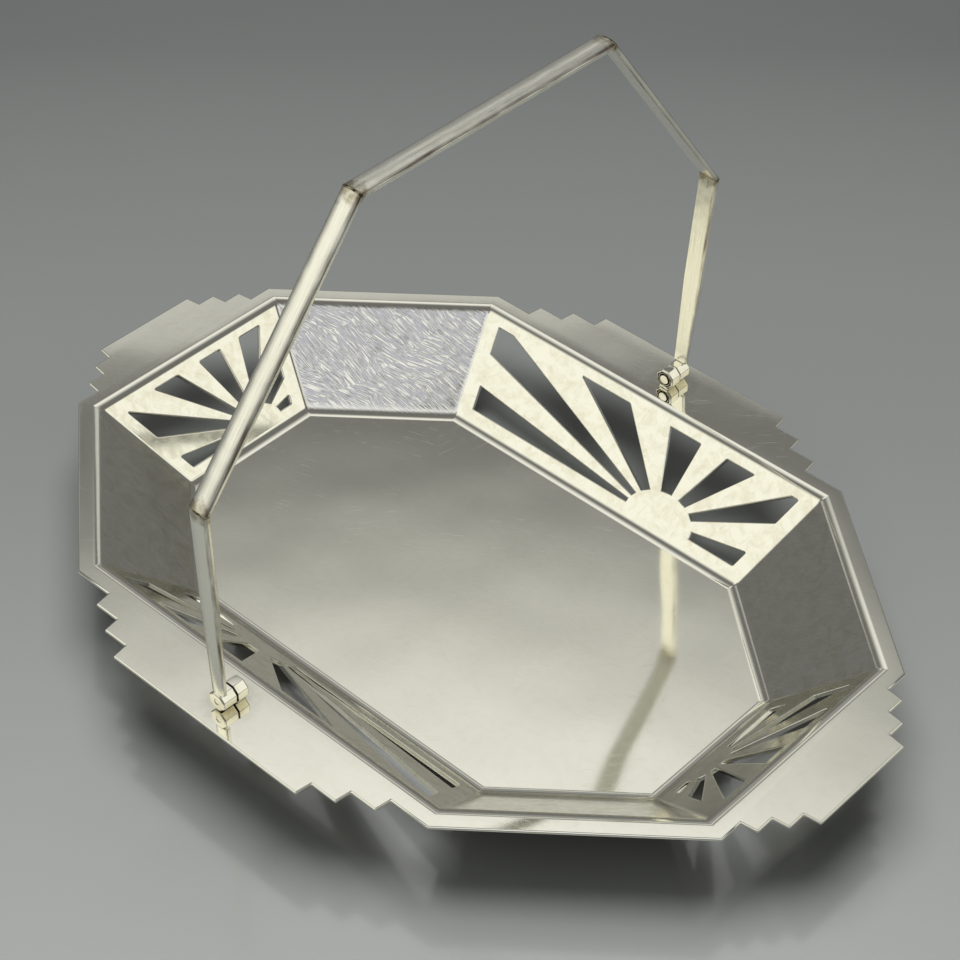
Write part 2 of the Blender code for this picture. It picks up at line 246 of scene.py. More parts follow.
def scratches(tree, coordinates, patch, size, turns, limits):
    """Mask of short straight scratches of one width and length, turned another way in each patch."""
    width, length = size
    low, high = limits
    cells = add_node(tree, "TexVoronoi", {"Vector": coordinates, "Scale": 1 / patch})
    turn = add_node(tree, "SeparateColor", {"Color": cells.outputs["Color"]})
    first, last = [math.radians(degrees) for degrees in turns]
    angle = add_node(tree, "MapRange", {"Value": turn.outputs["Red"], "To Min": first, "To Max": last})
    turned = add_node(tree, "VectorRotate", {"Vector": coordinates, "Angle": angle}, rotation_type="Z_AXIS")
    stretched = add_node(tree, "VectorMath", {0: turned, 1: (1 / width, 1 / length, 1 / length)},
                         operation="MULTIPLY")
    grain = add_node(tree, "TexNoise", {"Vector": stretched, "Scale": 1.0, "Detail": 1.0})
    return add_node(tree, "MapRange",
                    {"Value": grain.outputs["Fac"], "From Min": low, "From Max": high}).outputs["Result"]


def wall_masks(tree, place, sizes):
    """Masks of the four plain walls, which are rubbed and dented most and carry the painted lilac shade, and
    of all the walls.
    """
    fold_fade = 0.0008                  # distance over which the mask fades at a fold between two walls
    foot_low, foot_high = 0.0015, 0.0035    # heights between which it fades in over the floor
    head_low, head_high = 0.0236, 0.0246    # heights between which it fades out under the rim
    clean_wall, worn_wall = 0.04, 0.07      # distances towards the worn wall between which its wear grows
    least_wear = 0.15                       # wear of the other plain walls, as a share of it
    x, y = unstepped_sides(sizes)
    outward = Vector((y - sizes.corner_y, x - sizes.corner_x, 0.0)).normalized()
    size = add_node(tree, "VectorMath", {0: place}, operation="ABSOLUTE").outputs[0]
    parts = add_node(tree, "SeparateXYZ", {0: size})
    across = add_node(tree, "VectorMath", {0: size, 1: outward}, operation="DOT_PRODUCT")
    fold = outward.dot((sizes.corner_x, y, 0.0))
    beyond = add_node(tree, "Math", {0: across.outputs["Value"], 1: fold}, operation="SUBTRACT")
    long_side = add_node(tree, "Math", {0: parts.outputs["Y"], 1: y}, operation="SUBTRACT")
    short_side = add_node(tree, "Math", {0: parts.outputs["X"], 1: x}, operation="SUBTRACT")
    pierced = add_node(tree, "Math", {0: long_side, 1: short_side}, operation="MAXIMUM")
    inside = add_node(tree, "Math", {0: beyond, 1: pierced}, operation="SUBTRACT")
    facing = add_node(tree, "MapRange", {"Value": inside, "From Min": 0.0, "From Max": fold_fade})
    above = add_node(tree, "MapRange",
                     {"Value": parts.outputs["Z"], "From Min": foot_low, "From Max": foot_high})
    below = add_node(tree, "MapRange", {"Value": parts.outputs["Z"], "From Min": head_low,
                                        "From Max": head_high, "To Min": 1.0, "To Max": 0.0})
    sloping = add_node(tree, "Math", {0: above, 1: below}, operation="MULTIPLY")
    plain = add_node(tree, "Math", {0: facing, 1: sloping}, operation="MULTIPLY")
    # The plain wall at the -X +Y corner is scratched most and gets the most painted lilac shade.
    corner = add_node(tree, "VectorMath", {0: place, 1: (-outward.x, outward.y, 0.0)},
                      operation="DOT_PRODUCT")
    wear = add_node(tree, "MapRange", {"Value": corner.outputs["Value"], "From Min": clean_wall,
                                       "From Max": worn_wall, "To Min": least_wear})
    worn = add_node(tree, "Math", {0: plain, 1: wear}, operation="MULTIPLY")
    return worn.outputs[0], sloping.outputs[0]


def electroplated_nickel_silver(name):
    """Electroplated nickel silver, pressed and hand polished: a warm mirror that waves slightly.

    The floor and the flange are smooth. The pierced walls are frosted by old polish, and the plain walls
    between them are rubbed and carry a painted lilac shade, left out of the marks so that these read lighter.
    """
    finish = bpy.context.scene.basket_finish
    material, tree, shader = new_material(name)
    place = add_node(tree, "TexCoord").outputs["Object"]
    plain, walls = wall_masks(tree, place, bpy.context.scene.basket_bowl)
    # Cloudy tarnish in patches of 4 mm and less.
    clouds = add_node(tree, "TexNoise", {"Vector": place, "Scale": 1 / 0.004, "Detail": 5.0,
                                         "Roughness": 0.62, "Distortion": 0.6})
    cloud = add_node(tree, "MapRange", {"Value": clouds.outputs["Fac"], "From Min": 0.44, "From Max": 0.70})
    # Polishing marks are finer than 0.05 mm on the real plate. They are drawn about 0.2 mm wide, to show.
    fine = scratches(tree, place, 0.011, (0.00022, 0.0050), (62, 100), (0.44, 0.60))
    long = scratches(tree, place, 0.025, (0.00020, 0.0120), (0, 180), (0.70, 0.76))
    rubbed = add_node(tree, "Math", {0: plain, 1: 0.98, 2: 0.02}, operation="MULTIPLY_ADD")
    rub = add_node(tree, "Math", {0: fine, 1: rubbed}, operation="MULTIPLY")
    single = add_node(tree, "Math", {0: long, 1: 0.06}, operation="MULTIPLY")
    marks = add_node(tree, "Math", {0: rub, 1: single}, operation="MAXIMUM")
    pierced = add_node(tree, "Math", {0: walls, 1: plain}, operation="SUBTRACT")
    frost = add_node(tree, "Math", {0: pierced, 1: 0.50, 2: 0.10}, operation="MULTIPLY_ADD")
    tint = add_node(tree, "Math", {0: cloud, 1: frost}, operation="MULTIPLY")
    colour = add_node(tree, "Mix", {"Factor": tint, "A": (*finish.plate, 1.0), "B": (*finish.tarnish, 1.0)},
                      data_type="RGBA")
    # Painted shade and reflection: a lilac grey laid on the plain walls, which the marks cut through, so that
    # the walls read darker and lilac and the marks lighter.
    uncut = add_node(tree, "Math", {0: 1.0, 1: fine}, operation="SUBTRACT")
    lilac_painted_shade = add_node(tree, "Math", {0: uncut, 1: plain}, operation="MULTIPLY")
    with_lilac_painted_shade = add_node(tree, "Mix", {"Factor": lilac_painted_shade, "A": colour.outputs["Result"],
                                              "B": (*finish.lilac_painted_shade, 1.0)}, data_type="RGBA")
    # Brown tarnish that fades over 9 mm around each hinge, broken up by the clouds.
    folded = add_node(tree, "VectorMath", {0: place}, operation="ABSOLUTE")
    hinge = add_node(tree, "VectorMath", {0: folded, 1: (0.0, HINGE_Y, RIM_TOP)}, operation="DISTANCE")
    halo = add_node(tree, "MapRange", {"Value": hinge.outputs["Value"], "From Min": 0.0030,
                                       "From Max": 0.0090, "To Min": 0.60, "To Max": 0.0})
    cloudy = add_node(tree, "Math", {0: cloud, 1: 0.5, 2: 0.4}, operation="MULTIPLY_ADD")
    stain = add_node(tree, "Math", {0: halo, 1: cloudy}, operation="MULTIPLY")
    stained = add_node(tree, "Mix", {"Factor": stain, "A": with_lilac_painted_shade.outputs["Result"],
                                               "B": (*finish.heated, 1.0)}, data_type="RGBA")
    gloss = add_node(tree, "Math", {0: tint, 1: 0.10, 2: 0.06}, operation="MULTIPLY_ADD")
    worn = add_node(tree, "Math", {0: marks, 1: 0.10, 2: gloss}, operation="MULTIPLY_ADD")
    # Waves of about 45 mm left by the press everywhere, dents of 8 mm in the plain walls, then the marks.
    waves = add_node(tree, "TexNoise", {"Vector": place, "Scale": 1 / 0.045, "Detail": 1.0})
    wave = add_node(tree, "Bump", {"Height": waves.outputs["Fac"], "Distance": 0.00022})
    dents = add_node(tree, "TexNoise", {"Vector": place, "Scale": 1 / 0.008, "Detail": 1.0})
    depth = add_node(tree, "Math", {0: dents.outputs["Fac"], 1: plain}, operation="MULTIPLY")
    dent = add_node(tree, "Bump", {"Height": depth, "Distance": 0.00012, "Normal": wave})
    cut = add_node(tree, "Bump", {"Height": marks, "Distance": 0.000030, "Normal": dent}, invert=True)
    fill_inputs(shader, {"Base Color": stained.outputs["Result"], "Roughness": worn, "Metallic": 1.0,
                         "Normal": cut})
    return material


def electroplated_drawn_strip(name):
    """Electroplated strip, drawn and polished lengthwise: soft streaks along it, brown beside its joints."""
    finish = bpy.context.scene.basket_finish
    material, tree, shader = new_material(name)
    grain = add_node(tree, "UVMap", uv_map="grain").outputs["UV"]
    ends = add_node(tree, "SeparateXYZ", {0: add_node(tree, "UVMap", uv_map="ends")})
    # Streaks 0.5 mm wide and 15 mm long.
    streak_space = add_node(tree, "VectorMath", {0: grain, 1: (1 / 0.0005, 1 / 0.015, 0.0)},
                            operation="MULTIPLY")
    streaks = add_node(tree, "TexNoise", {"Vector": streak_space, "Scale": 1.0, "Detail": 3.0})
    # Tarnish that spreads up to 4 mm from each joint, with a ragged edge.
    near = add_node(tree, "Math", {0: ends.outputs["X"], 1: ends.outputs["Y"]}, operation="MINIMUM")
    ragged = add_node(tree, "TexNoise", {"Vector": grain, "Scale": 1 / 0.0022, "Detail": 4.0})
    reach = add_node(tree, "Math", {0: ragged.outputs["Fac"], 1: -0.012, 2: near}, operation="MULTIPLY_ADD")
    heat = add_node(tree, "MapRange", {"Value": reach, "From Min": -0.0060, "From Max": -0.0022,
                                       "To Min": 0.85, "To Max": 0.0})
    # A brown line beside the +X edge, 1 mm wide and patchy over 20 mm.
    across = add_node(tree, "SeparateXYZ", {0: grain}).outputs["X"]
    inner = add_node(tree, "MapRange", {"Value": across, "From Min": 0.0019, "From Max": 0.0025})
    outer = add_node(tree, "MapRange",
                     {"Value": across, "From Min": 0.0031, "From Max": 0.0034, "To Min": 1.0, "To Max": 0.15})
    edge = add_node(tree, "Math", {0: inner, 1: outer}, operation="MULTIPLY")
    patch_space = add_node(tree, "VectorMath", {0: grain, 1: (1 / 0.004, 1 / 0.020, 0.0)},
                           operation="MULTIPLY")
    patches = add_node(tree, "TexNoise", {"Vector": patch_space, "Scale": 1.0, "Detail": 3.0})
    patch = add_node(tree, "MapRange", {"Value": patches.outputs["Fac"], "From Min": 0.36, "From Max": 0.56})
    line = add_node(tree, "Math", {0: edge, 1: patch}, operation="MULTIPLY")
    plate = add_node(tree, "Mix", {"Factor": heat, "A": (*finish.plate, 1.0), "B": (*finish.heated, 1.0)},
                     data_type="RGBA")
    brown = add_node(tree, "Math", {0: line, 1: 0.85}, operation="MULTIPLY")
    colour = add_node(tree, "Mix", {"Factor": brown, "A": plate.outputs["Result"],
                                              "B": (*finish.sulphide, 1.0)}, data_type="RGBA")
    gloss = add_node(tree, "MapRange", {"Value": streaks.outputs["Fac"], "From Min": 0.3, "From Max": 0.7,
                                        "To Min": 0.14, "To Max": 0.30})
    drawn = add_node(tree, "Bump", {"Height": streaks.outputs["Fac"], "Distance": 0.000018})
    place = add_node(tree, "TexCoord").outputs["Object"]
    waves = add_node(tree, "TexNoise", {"Vector": place, "Scale": 1 / 0.007, "Detail": 1.0})
    wave = add_node(tree, "Bump", {"Height": waves.outputs["Fac"], "Distance": 0.00010, "Normal": drawn})
    fill_inputs(shader, {"Base Color": colour.outputs["Result"], "Roughness": gloss, "Metallic": 1.0,
                         "Normal": wave})
    return material


def hinge_grime_and_painted_shade(name):
    """Dried polish and dirt packed in the hinge, and painted shade of the gap around the pin: matt and nearly
    black, so that the pin stands out.
    """
    finish = bpy.context.scene.basket_finish
    material, tree, shader = new_material(name)
    place = add_node(tree, "TexCoord").outputs["Object"]
    # Crumbs of 0.3 mm.
    crumbs = add_node(tree, "TexNoise", {"Vector": place, "Scale": 1 / 0.0003, "Detail": 3.0})
    colour = add_node(tree, "Mix", {"Factor": crumbs.outputs["Fac"], "A": (*finish.bore_grime_and_shade, 1.0),
                                    "B": (*finish.sulphide, 1.0)}, data_type="RGBA")
    rough = add_node(tree, "Bump", {"Height": crumbs.outputs["Fac"], "Distance": 0.00005})
    fill_inputs(shader, {"Base Color": colour.outputs["Result"], "Roughness": 0.75, "Normal": rough})
    return material


def tarnished_silver_solder(name):
    """Silver solder, filed and left to tarnish: duller and browner than the plate, with bright high spots."""
    finish = bpy.context.scene.basket_finish
    material, tree, shader = new_material(name)
    place = add_node(tree, "TexCoord").outputs["Object"]
    # Blotches of 1 mm, from flux and filing.
    blotches = add_node(tree, "TexNoise", {"Vector": place, "Scale": 1 / 0.001, "Detail": 4.0})
    spread = add_node(tree, "MapRange",
                      {"Value": blotches.outputs["Fac"], "From Min": 0.40, "From Max": 0.62})
    colour = add_node(tree, "Mix", {"Factor": spread, "A": (*finish.flux, 1.0), "B": (*finish.solder, 1.0)},
                      data_type="RGBA")
    gloss = add_node(tree, "MapRange", {"Value": spread, "To Min": 0.42, "To Max": 0.24})
    lumps = add_node(tree, "Bump", {"Height": blotches.outputs["Fac"], "Distance": 0.00012})
    fill_inputs(shader, {"Base Color": colour.outputs["Result"], "Roughness": gloss, "Metallic": 1.0,
                         "Normal": lumps})
    return material


def shared(make):
    """The material that a function makes, named for it and made only once."""
    name = make.__name__
    return bpy.data.materials.get(name) or make(name)


def of_kind(made, kind):
    """The points, edges or faces in what an operator returned."""
    return [item for item in made if isinstance(item, kind)]


def new_object(name, bm):
    bmesh.ops.recalc_face_normals(bm, faces=bm.faces[:])
    mesh = bpy.data.meshes.new(name)
    bm.to_mesh(mesh)
    bm.free()
    piece = bpy.data.objects.new(name, mesh)
    bpy.context.scene.collection.objects.link(piece)
    return piece


def settle(piece):
    """Keeps the shape that a piece's modifiers give it, as its own mesh."""
    graph = bpy.context.evaluated_depsgraph_get()
    mesh = bpy.data.meshes.new_from_object(piece.evaluated_get(graph))
    piece.modifiers.clear()
    piece.data = mesh


def finish_piece(piece, make, body, *nodes):
    """Shades a piece, gives it its metal, and lets it stand for its solid and move with its body."""
    piece.data.materials.clear()
    piece.data.materials.append(shared(make))
    piece.data.shade_smooth()
    piece.data.set_sharp_from_angle(angle=SMOOTH_BELOW)
    weighted = piece.modifiers.new("Flat Faces", "WEIGHTED_NORMAL")
    weighted.weight = FACE_WEIGHT
    weighted.keep_sharp = True
    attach(piece, body)
    if nodes:
        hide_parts(*nodes)
    return piece


def shade_and_soil_bore(piece, radius, start, end):
    """Lays grime and painted shade, as one dark material, on the faces of a barrel that lie close around the
    hinge axis, from start to end.
    """
    piece.data.materials.append(shared(hinge_grime_and_painted_shade))
    for face in piece.data.polygons:
        middle = face.center
        if math.hypot(middle.x, middle.z - AXIS_Z) < radius and start < abs(middle.y) < end:
            face.material_index = 1


def round_piece(piece, width, segments, degrees):
    """Rounds the edges of a piece that turn by more than an angle."""
    bevel = piece.modifiers.new("Rounding", "BEVEL")
    bevel.width = width
    bevel.segments = segments
    bevel.limit_method = "ANGLE"
    bevel.angle_limit = math.radians(degrees)
    bevel.harden_normals = False
    settle(piece)


def cut_away(piece, guide):
    """Takes the shape of a guide out of a piece, and removes the guide."""
    cut = piece.modifiers.new("Cut", "BOOLEAN")
    cut.operation = "DIFFERENCE"
    cut.solver = "EXACT"
    cut.object = guide
    settle(piece)
    bpy.data.objects.remove(guide)


def round_sharp_edges(bm, offset):
    """Rounds the sharp edges of a mesh that is still open to bmesh."""
    bm.normal_update()
    sharp = [edge for edge in bm.edges if len(edge.link_faces) == 2 and edge.calc_face_angle() > SHARP_ABOVE]
    bmesh.ops.bevel(bm, geom=sharp, offset=offset, offset_type="OFFSET", segments=3, profile=0.5,
                    affect="EDGES", material=-1, clamp_overlap=True)


def slope(sizes):
    """Length and angle of a wall, from rim to floor."""
    depth = RIM_TOP - sizes.sheet
    return math.hypot(depth, sizes.wall_run), math.atan2(depth, sizes.wall_run)


def unstepped_sides(sizes):
    """Distances from the middle to the short and to the long sides of the rim, without its steps."""
    return BOWL_HIGH.x - STEPS * sizes.step_out, BOWL_HIGH.y - STEPS * sizes.step_out


def unstepped_octagon(sizes):
    """Corners of the rim without its steps, counter-clockwise from the +X side's far end."""
    x, y = unstepped_sides(sizes)
    half = [(x, sizes.corner_y), (sizes.corner_x, y), (-sizes.corner_x, y), (-x, sizes.corner_y)]
    return half + [(-px, -py) for px, py in half]


def step_side(bm, edge, first, pitch, out, taper):
    """Draws narrowing steps out of one straight edge of the rim."""
    middle = (edge.verts[0].co + edge.verts[1].co) / 2
    outward = Vector((middle.x, middle.y, 0.0)).normalized()
    if abs(outward.x) > abs(outward.y):
        outward = Vector((math.copysign(1.0, outward.x), 0.0, 0.0))
    else:
        outward = Vector((0.0, math.copysign(1.0, outward.y), 0.0))
    for index in range(STEPS):
        reach = first - index * pitch
        ends = sorted(edge.verts, key=lambda vert: vert.co.dot(outward.cross(Vector((0, 0, 1)))))
        direction = (ends[1].co - ends[0].co).normalized()
        middle = (ends[0].co + ends[1].co) / 2
        span = (ends[1].co - ends[0].co).length
        edge, low = bmesh.utils.edge_split(edge, ends[0], 0.5 - reach / span)
        edge = next(e for e in low.link_edges if ends[1] in e.verts)
        span = (ends[1].co - low.co).length
        edge, high = bmesh.utils.edge_split(edge, ends[1], 1.0 - 2 * reach / span)
        edge = next(e for e in low.link_edges if high in e.verts)
        made = bmesh.ops.extrude_edge_only(bm, edges=[edge])["geom"]
        moved = of_kind(made, BMVert)
        bmesh.ops.translate(bm, verts=moved, vec=outward * out)
        for vert in moved:
            side = 1.0 if (vert.co - middle).dot(direction) > 0 else -1.0
            vert.co -= direction * side * taper
        edge = next(item for item in of_kind(made, BMEdge) if all(vert in moved for vert in item.verts))


def bowl_sheet(sizes):
    """Top face of the bowl: an octagon, set in for the flange and for the walls, with its bends marked."""
    bm = bmesh.new()
    corners = [bm.verts.new((x, y, RIM_TOP)) for x, y in unstepped_octagon(sizes)]
    inner = bm.faces.new(corners)
    bm.normal_update()
    for width in (sizes.flange, sizes.wall_run):
        bmesh.ops.inset_region(bm, faces=[inner], thickness=width, use_even_offset=True, use_boundary=True)
    bmesh.ops.translate(bm, verts=inner.verts[:], vec=(0.0, 0.0, sizes.sheet - RIM_TOP))
    bm.normal_update()
    weight = bm.edges.layers.float.new("bevel_weight_edge")
    for edge in bm.edges:
        if len(edge.link_faces) == 2 and edge.calc_face_angle() > BEND_ABOVE:
            low, high = sorted(vert.co.z for vert in edge.verts)
            bend = sizes.fold
            if high - low < sizes.sheet:
                bend = sizes.rim_bend if low > RIM_TOP / 2 else sizes.floor_bend
            edge[weight] = bend / sizes.floor_bend
    outer = [edge for edge in bm.edges if edge.is_boundary]
    for edge in outer:
        middle = (edge.verts[0].co + edge.verts[1].co) / 2
        if abs(middle.x) < NEAR_AXIS:
            step_side(bm, edge, sizes.long_step, sizes.long_pitch, sizes.step_out, sizes.step_taper)
        elif abs(middle.y) < NEAR_AXIS:
            step_side(bm, edge, sizes.short_step, sizes.short_pitch, sizes.step_out, sizes.step_taper)
    return bm


def ray_outline(angles, sun, half_width, top, bottom):
    """Corners of one ray, as distances along the wall and down its slope."""
    offset, sun_width, sun_height = sun
    lean = (half_width(0.0) - half_width(bottom)) / bottom
    first, last = [math.radians(angle) for angle in angles]

    def border(angle):
        across = math.cos(angle)
        rise = math.sin(angle)
        side = 1.0 if across >= 0.0 else -1.0
        reach = (half_width(bottom) - side * offset) / (side * across - lean * rise)
        if rise > 0.0 and (reach < 0.0 or reach * rise > bottom - top):
            reach = (bottom - top) / rise
        return (offset + reach * across, bottom - reach * rise)

    def sun_edge(angle):
        reach = 1.0 / math.hypot(math.cos(angle) / sun_width, math.sin(angle) / sun_height)
        return (offset + reach * math.cos(angle), bottom - reach * math.sin(angle))

    arc = [last + (first - last) * index / (SUN_POINTS - 1) for index in range(SUN_POINTS)]
    outline = [sun_edge(angle) for angle in arc] + [border(first)]
    for side in (1, -1):
        corner = (side * half_width(top), top)
        turn = math.atan2(bottom - corner[1], corner[0] - offset)
        if first < turn < last:
            outline.append(corner)
    return outline + [border(last)]


def wall_frame(turn, distance, flange, angle):
    """Matrix of a wall: X along it, Y down its slope and Z into its back."""
    along = Vector((1.0, 0.0, 0.0))
    down = Vector((0.0, -math.cos(angle), -math.sin(angle)))
    matrix = Matrix((along, down, along.cross(down))).transposed().to_4x4()
    matrix.translation = (0.0, distance - flange, RIM_TOP)
    return Matrix.Rotation(turn, 4, "Z") @ matrix


def add_punch(bm, outline, roll, depth, corner):
    """Punch of one ray, flared where it enters, so that the sheet's edge comes out rounded."""
    verts = [bm.verts.new((u, v, depth)) for u, v in outline]
    bm.faces.new(verts)
    bmesh.ops.bevel(bm, geom=verts[SUN_POINTS:], offset=corner, offset_type="OFFSET", segments=3, profile=0.5,
                    affect="VERTICES", material=-1, clamp_overlap=True)
    face = next(iter(bm.faces))
    face.normal_update()
    if face.normal.z > 0:
        face.normal_flip()
    for index in range(ROLL_STEPS):
        low = math.pi / 2 * index / ROLL_STEPS
        high = math.pi / 2 * (index + 1) / ROLL_STEPS
        wider = roll * (math.cos(low) - math.cos(high))
        deeper = depth * (math.sin(high) - math.sin(low))
        bmesh.ops.inset_region(bm, faces=[face], thickness=-wider, use_even_offset=True, use_boundary=True)
        bmesh.ops.translate(bm, verts=face.verts[:], vec=(0.0, 0.0, -deeper))
    top = bmesh.ops.extrude_face_region(bm, geom=[face])["geom"]
    bmesh.ops.translate(bm, verts=of_kind(top, BMVert), vec=(0.0, 0.0, -PUNCH_REACH))
    bmesh.ops.delete(bm, geom=[face], context="FACES_ONLY")
    rim = [edge for edge in bm.edges if edge.is_boundary]
    made = bmesh.ops.extrude_edge_only(bm, edges=rim)["geom"]
    moved = of_kind(made, BMVert)
    bmesh.ops.translate(bm, verts=moved, vec=(0.0, 0.0, PUNCH_REACH))
    bmesh.ops.contextual_create(bm, geom=[edge for edge in of_kind(made, BMEdge)
                                          if all(vert in moved for vert in edge.verts)])


def ray_punches(sizes):
    """The punches of all four pierced walls, as one guide."""
    guide = bmesh.new()
    wall_length, wall_angle = slope(sizes)
    x, y = unstepped_sides(sizes)
    turn = math.atan2(y - sizes.corner_y, x - sizes.corner_x)
    panels = (
        (0.0, y, sizes.corner_x, math.tan(turn / 2), LONG_SUN, LONG_RAYS),
        (math.pi / 2, x, sizes.corner_y, math.tan((math.pi / 2 - turn) / 2), SHORT_SUN, SHORT_RAYS),
    )
    bottom = wall_length - sizes.border_bottom
    for wall_turn, distance, corner, narrowing, sun, rays in panels:
        rim = corner - sizes.flange * narrowing
        loss = sizes.wall_run * narrowing / wall_length
        side = sizes.border_side * math.hypot(1.0, loss)

        def half_width(down, rim=rim, loss=loss, side=side):
            return rim - loss * down - side

        for half_turn in (0.0, math.pi):
            matrix = wall_frame(wall_turn + half_turn, distance, sizes.flange, wall_angle)
            for angles in rays:
                punch = bmesh.new()
                outline = ray_outline(angles, sun, half_width, sizes.border_top, bottom)
                add_punch(punch, outline, sizes.roll, sizes.roll_depth, sizes.ray_corner)
                bmesh.ops.recalc_face_normals(punch, faces=punch.faces[:])
                bmesh.ops.transform(punch, matrix=matrix, verts=punch.verts[:])
                part = bpy.data.meshes.new("punch")
                punch.to_mesh(part)
                punch.free()
                guide.from_mesh(part)
                bpy.data.meshes.remove(part)
    return new_object("ray_punches", guide)


class BASKET_OT_bowl(bpy.types.Operator):
    """Builds the pressed bowl with its stepped rim and pierced sunbursts"""

    bl_idname = "basket.bowl"
    bl_label = "Pierced Bowl"

    def execute(self, context):
        sizes = context.scene.basket_bowl
        bowl = new_object("bowl_pressing", bowl_sheet(sizes))
        bends = bowl.modifiers.new("Bends", "BEVEL")
        bends.width = sizes.floor_bend
        bends.segments = 8
        bends.limit_method = "WEIGHT"
        settle(bowl)
        thickness = bowl.modifiers.new("Thickness", "SOLIDIFY")
        thickness.thickness = sizes.sheet
        thickness.offset = -1.0
        thickness.use_even_offset = True
        settle(bowl)
        round_piece(bowl, sizes.edge, 4, 60)
        cut_away(bowl, ray_punches(sizes))
        finish_piece(bowl, electroplated_nickel_silver, "basket", "bowl")
        return {"FINISHED"}


def bar(radius, sides, turn, start, end, side):
    """Bar along the hinge axis, turned about it, between two distances from the middle plane."""
    bm = bmesh.new()
    bmesh.ops.create_cone(bm, cap_ends=True, segments=sides, radius1=radius, radius2=radius,
                          depth=end - start)
    for angle, axis in ((turn, "Z"), (math.pi / 2, "X")):
        bmesh.ops.rotate(bm, verts=bm.verts[:], cent=(0, 0, 0), matrix=Matrix.Rotation(angle, 3, axis))
    bmesh.ops.translate(bm, verts=bm.verts[:], vec=(0.0, side * (start + end) / 2, 0.0))
    return bm


def barrel(flats, start, end, side, faced, chamfer):
    """Eight-sided bar with a flat on top, chamfered around the end that is faced."""
    eighth = math.pi / 8
    bm = bar(flats / 2 / math.cos(eighth), 8, eighth, start, end, side)
    bm.normal_update()
    bmesh.ops.bevel(bm, geom=list(end_face(bm, side * faced).edges), offset=chamfer, offset_type="OFFSET",
                    segments=2, profile=0.5, affect="EDGES", material=-1)
    return bm


def end_face(bm, y):
    """The flat end of a barrel at y."""
    return min((face for face in bm.faces if abs(face.normal.y) > 0.9),
               key=lambda face: abs(face.calc_center_median().y - y))


class BASKET_OT_lugs(bpy.types.Operator):
    """Builds the two fixed barrels and the solder that holds them to the rim"""

    bl_idname = "basket.lugs"
    bl_label = "Fixed Barrels"

    def execute(self, context):
        sizes = context.scene.basket_handle
        start = sizes.lug_start
        end = start + sizes.lug_length
        noise.seed_set(LUMP_SEED)
        for label, side in SIDES:
            bm = barrel(sizes.lug_flats, start, end, side, start, sizes.chamfer)
            bmesh.ops.translate(bm, verts=bm.verts[:], vec=(0.0, 0.0, AXIS_Z))
            lug = new_object("fixed_barrel_" + label, bm)
            bore = bar(sizes.bore_radius, ROUND, 0.0, end - BORE_REACH, end + BORE_REACH, side)
            bmesh.ops.translate(bore, verts=bore.verts[:], vec=(0.0, 0.0, AXIS_Z))
            cut_away(lug, new_object("bore_guide", bore))
            round_piece(lug, sizes.barrel_round, 2, 30)
            finish_piece(lug, electroplated_nickel_silver, "basket", "lug_" + label)
            shade_and_soil_bore(lug, sizes.bore_radius + SLACK / 2, start - SLACK, end + SLACK)
            foot = bmesh.new()
            bmesh.ops.create_cube(foot, size=1.0)
            height = AXIS_Z - sizes.lug_flats / 2 - RIM_TOP + SOLDER_REACH
            middle = RIM_TOP + height / 2
            bmesh.ops.scale(foot, verts=foot.verts[:],
                            vec=(SOLDER_WIDTH, sizes.lug_length + 2 * SLACK, height))
            bmesh.ops.translate(foot, verts=foot.verts[:], vec=(0.0, side * (start + end) / 2, middle))
            for vert in foot.verts:
                if vert.co.z > middle:
                    vert.co.x *= SOLDER_NARROWING
            bmesh.ops.subdivide_edges(foot, edges=foot.edges[:], cuts=4, use_grid_fill=True)
            for vert in foot.verts:
                vert.co += noise.noise_vector(vert.co / LUMP_SPACING) * LUMP_HEIGHT
            bmesh.ops.smooth_vert(foot, verts=foot.verts[:], factor=0.5, use_axis_x=True, use_axis_y=True)
            solder = new_object("barrel_solder_" + label, foot)
            finish_piece(solder, electroplated_nickel_silver, "basket")
        return {"FINISHED"}


def handle_matrix(sizes):
    """From the upright handle, with its hinge axis through the origin, to its place at rest."""
    return Matrix.Translation((0.0, 0.0, AXIS_Z)) @ Matrix.Rotation(sizes.lean, 4, "Y")


class BASKET_OT_eyes(bpy.types.Operator):
    """Builds the handle's eyes and the hinge pins in them"""

    bl_idname = "basket.eyes"
    bl_label = "Eyes and Pins"

    def execute(self, context):
        sizes = context.scene.basket_handle
        place = handle_matrix(sizes)
        start = sizes.lug_start + sizes.lug_length + sizes.hinge_gap
        end = start + sizes.eye_length
        for label, side in SIDES:
            bm = barrel(sizes.eye_flats, start, end, side, end, sizes.chamfer)
            bm.normal_update()
            face = end_face(bm, side * end)
            for width, depth in ((sizes.eye_ring, 0.0), (sizes.dimple_slope, -sizes.dimple_depth)):
                bmesh.ops.inset_region(bm, faces=[face], thickness=width, depth=depth,
                                       use_even_offset=True, use_boundary=True)
            bmesh.ops.transform(bm, matrix=place, verts=bm.verts[:])
            eye = new_object("eye_barrel_" + label, bm)
            round_piece(eye, sizes.barrel_round, 2, 30)
            finish_piece(eye, electroplated_nickel_silver, "handle", "eye_" + label)
            bm = bar(sizes.pin_radius, ROUND, 0.0, sizes.lug_start - sizes.pin_proud,
                     end - sizes.pin_short, side)
            bmesh.ops.transform(bm, matrix=place, verts=bm.verts[:])
            pin = new_object("hinge_pin_" + label, bm)
            round_piece(pin, sizes.pin_round, 3, 60)
            finish_piece(pin, electroplated_nickel_silver, "handle", "pin_" + label)
        return {"FINISHED"}


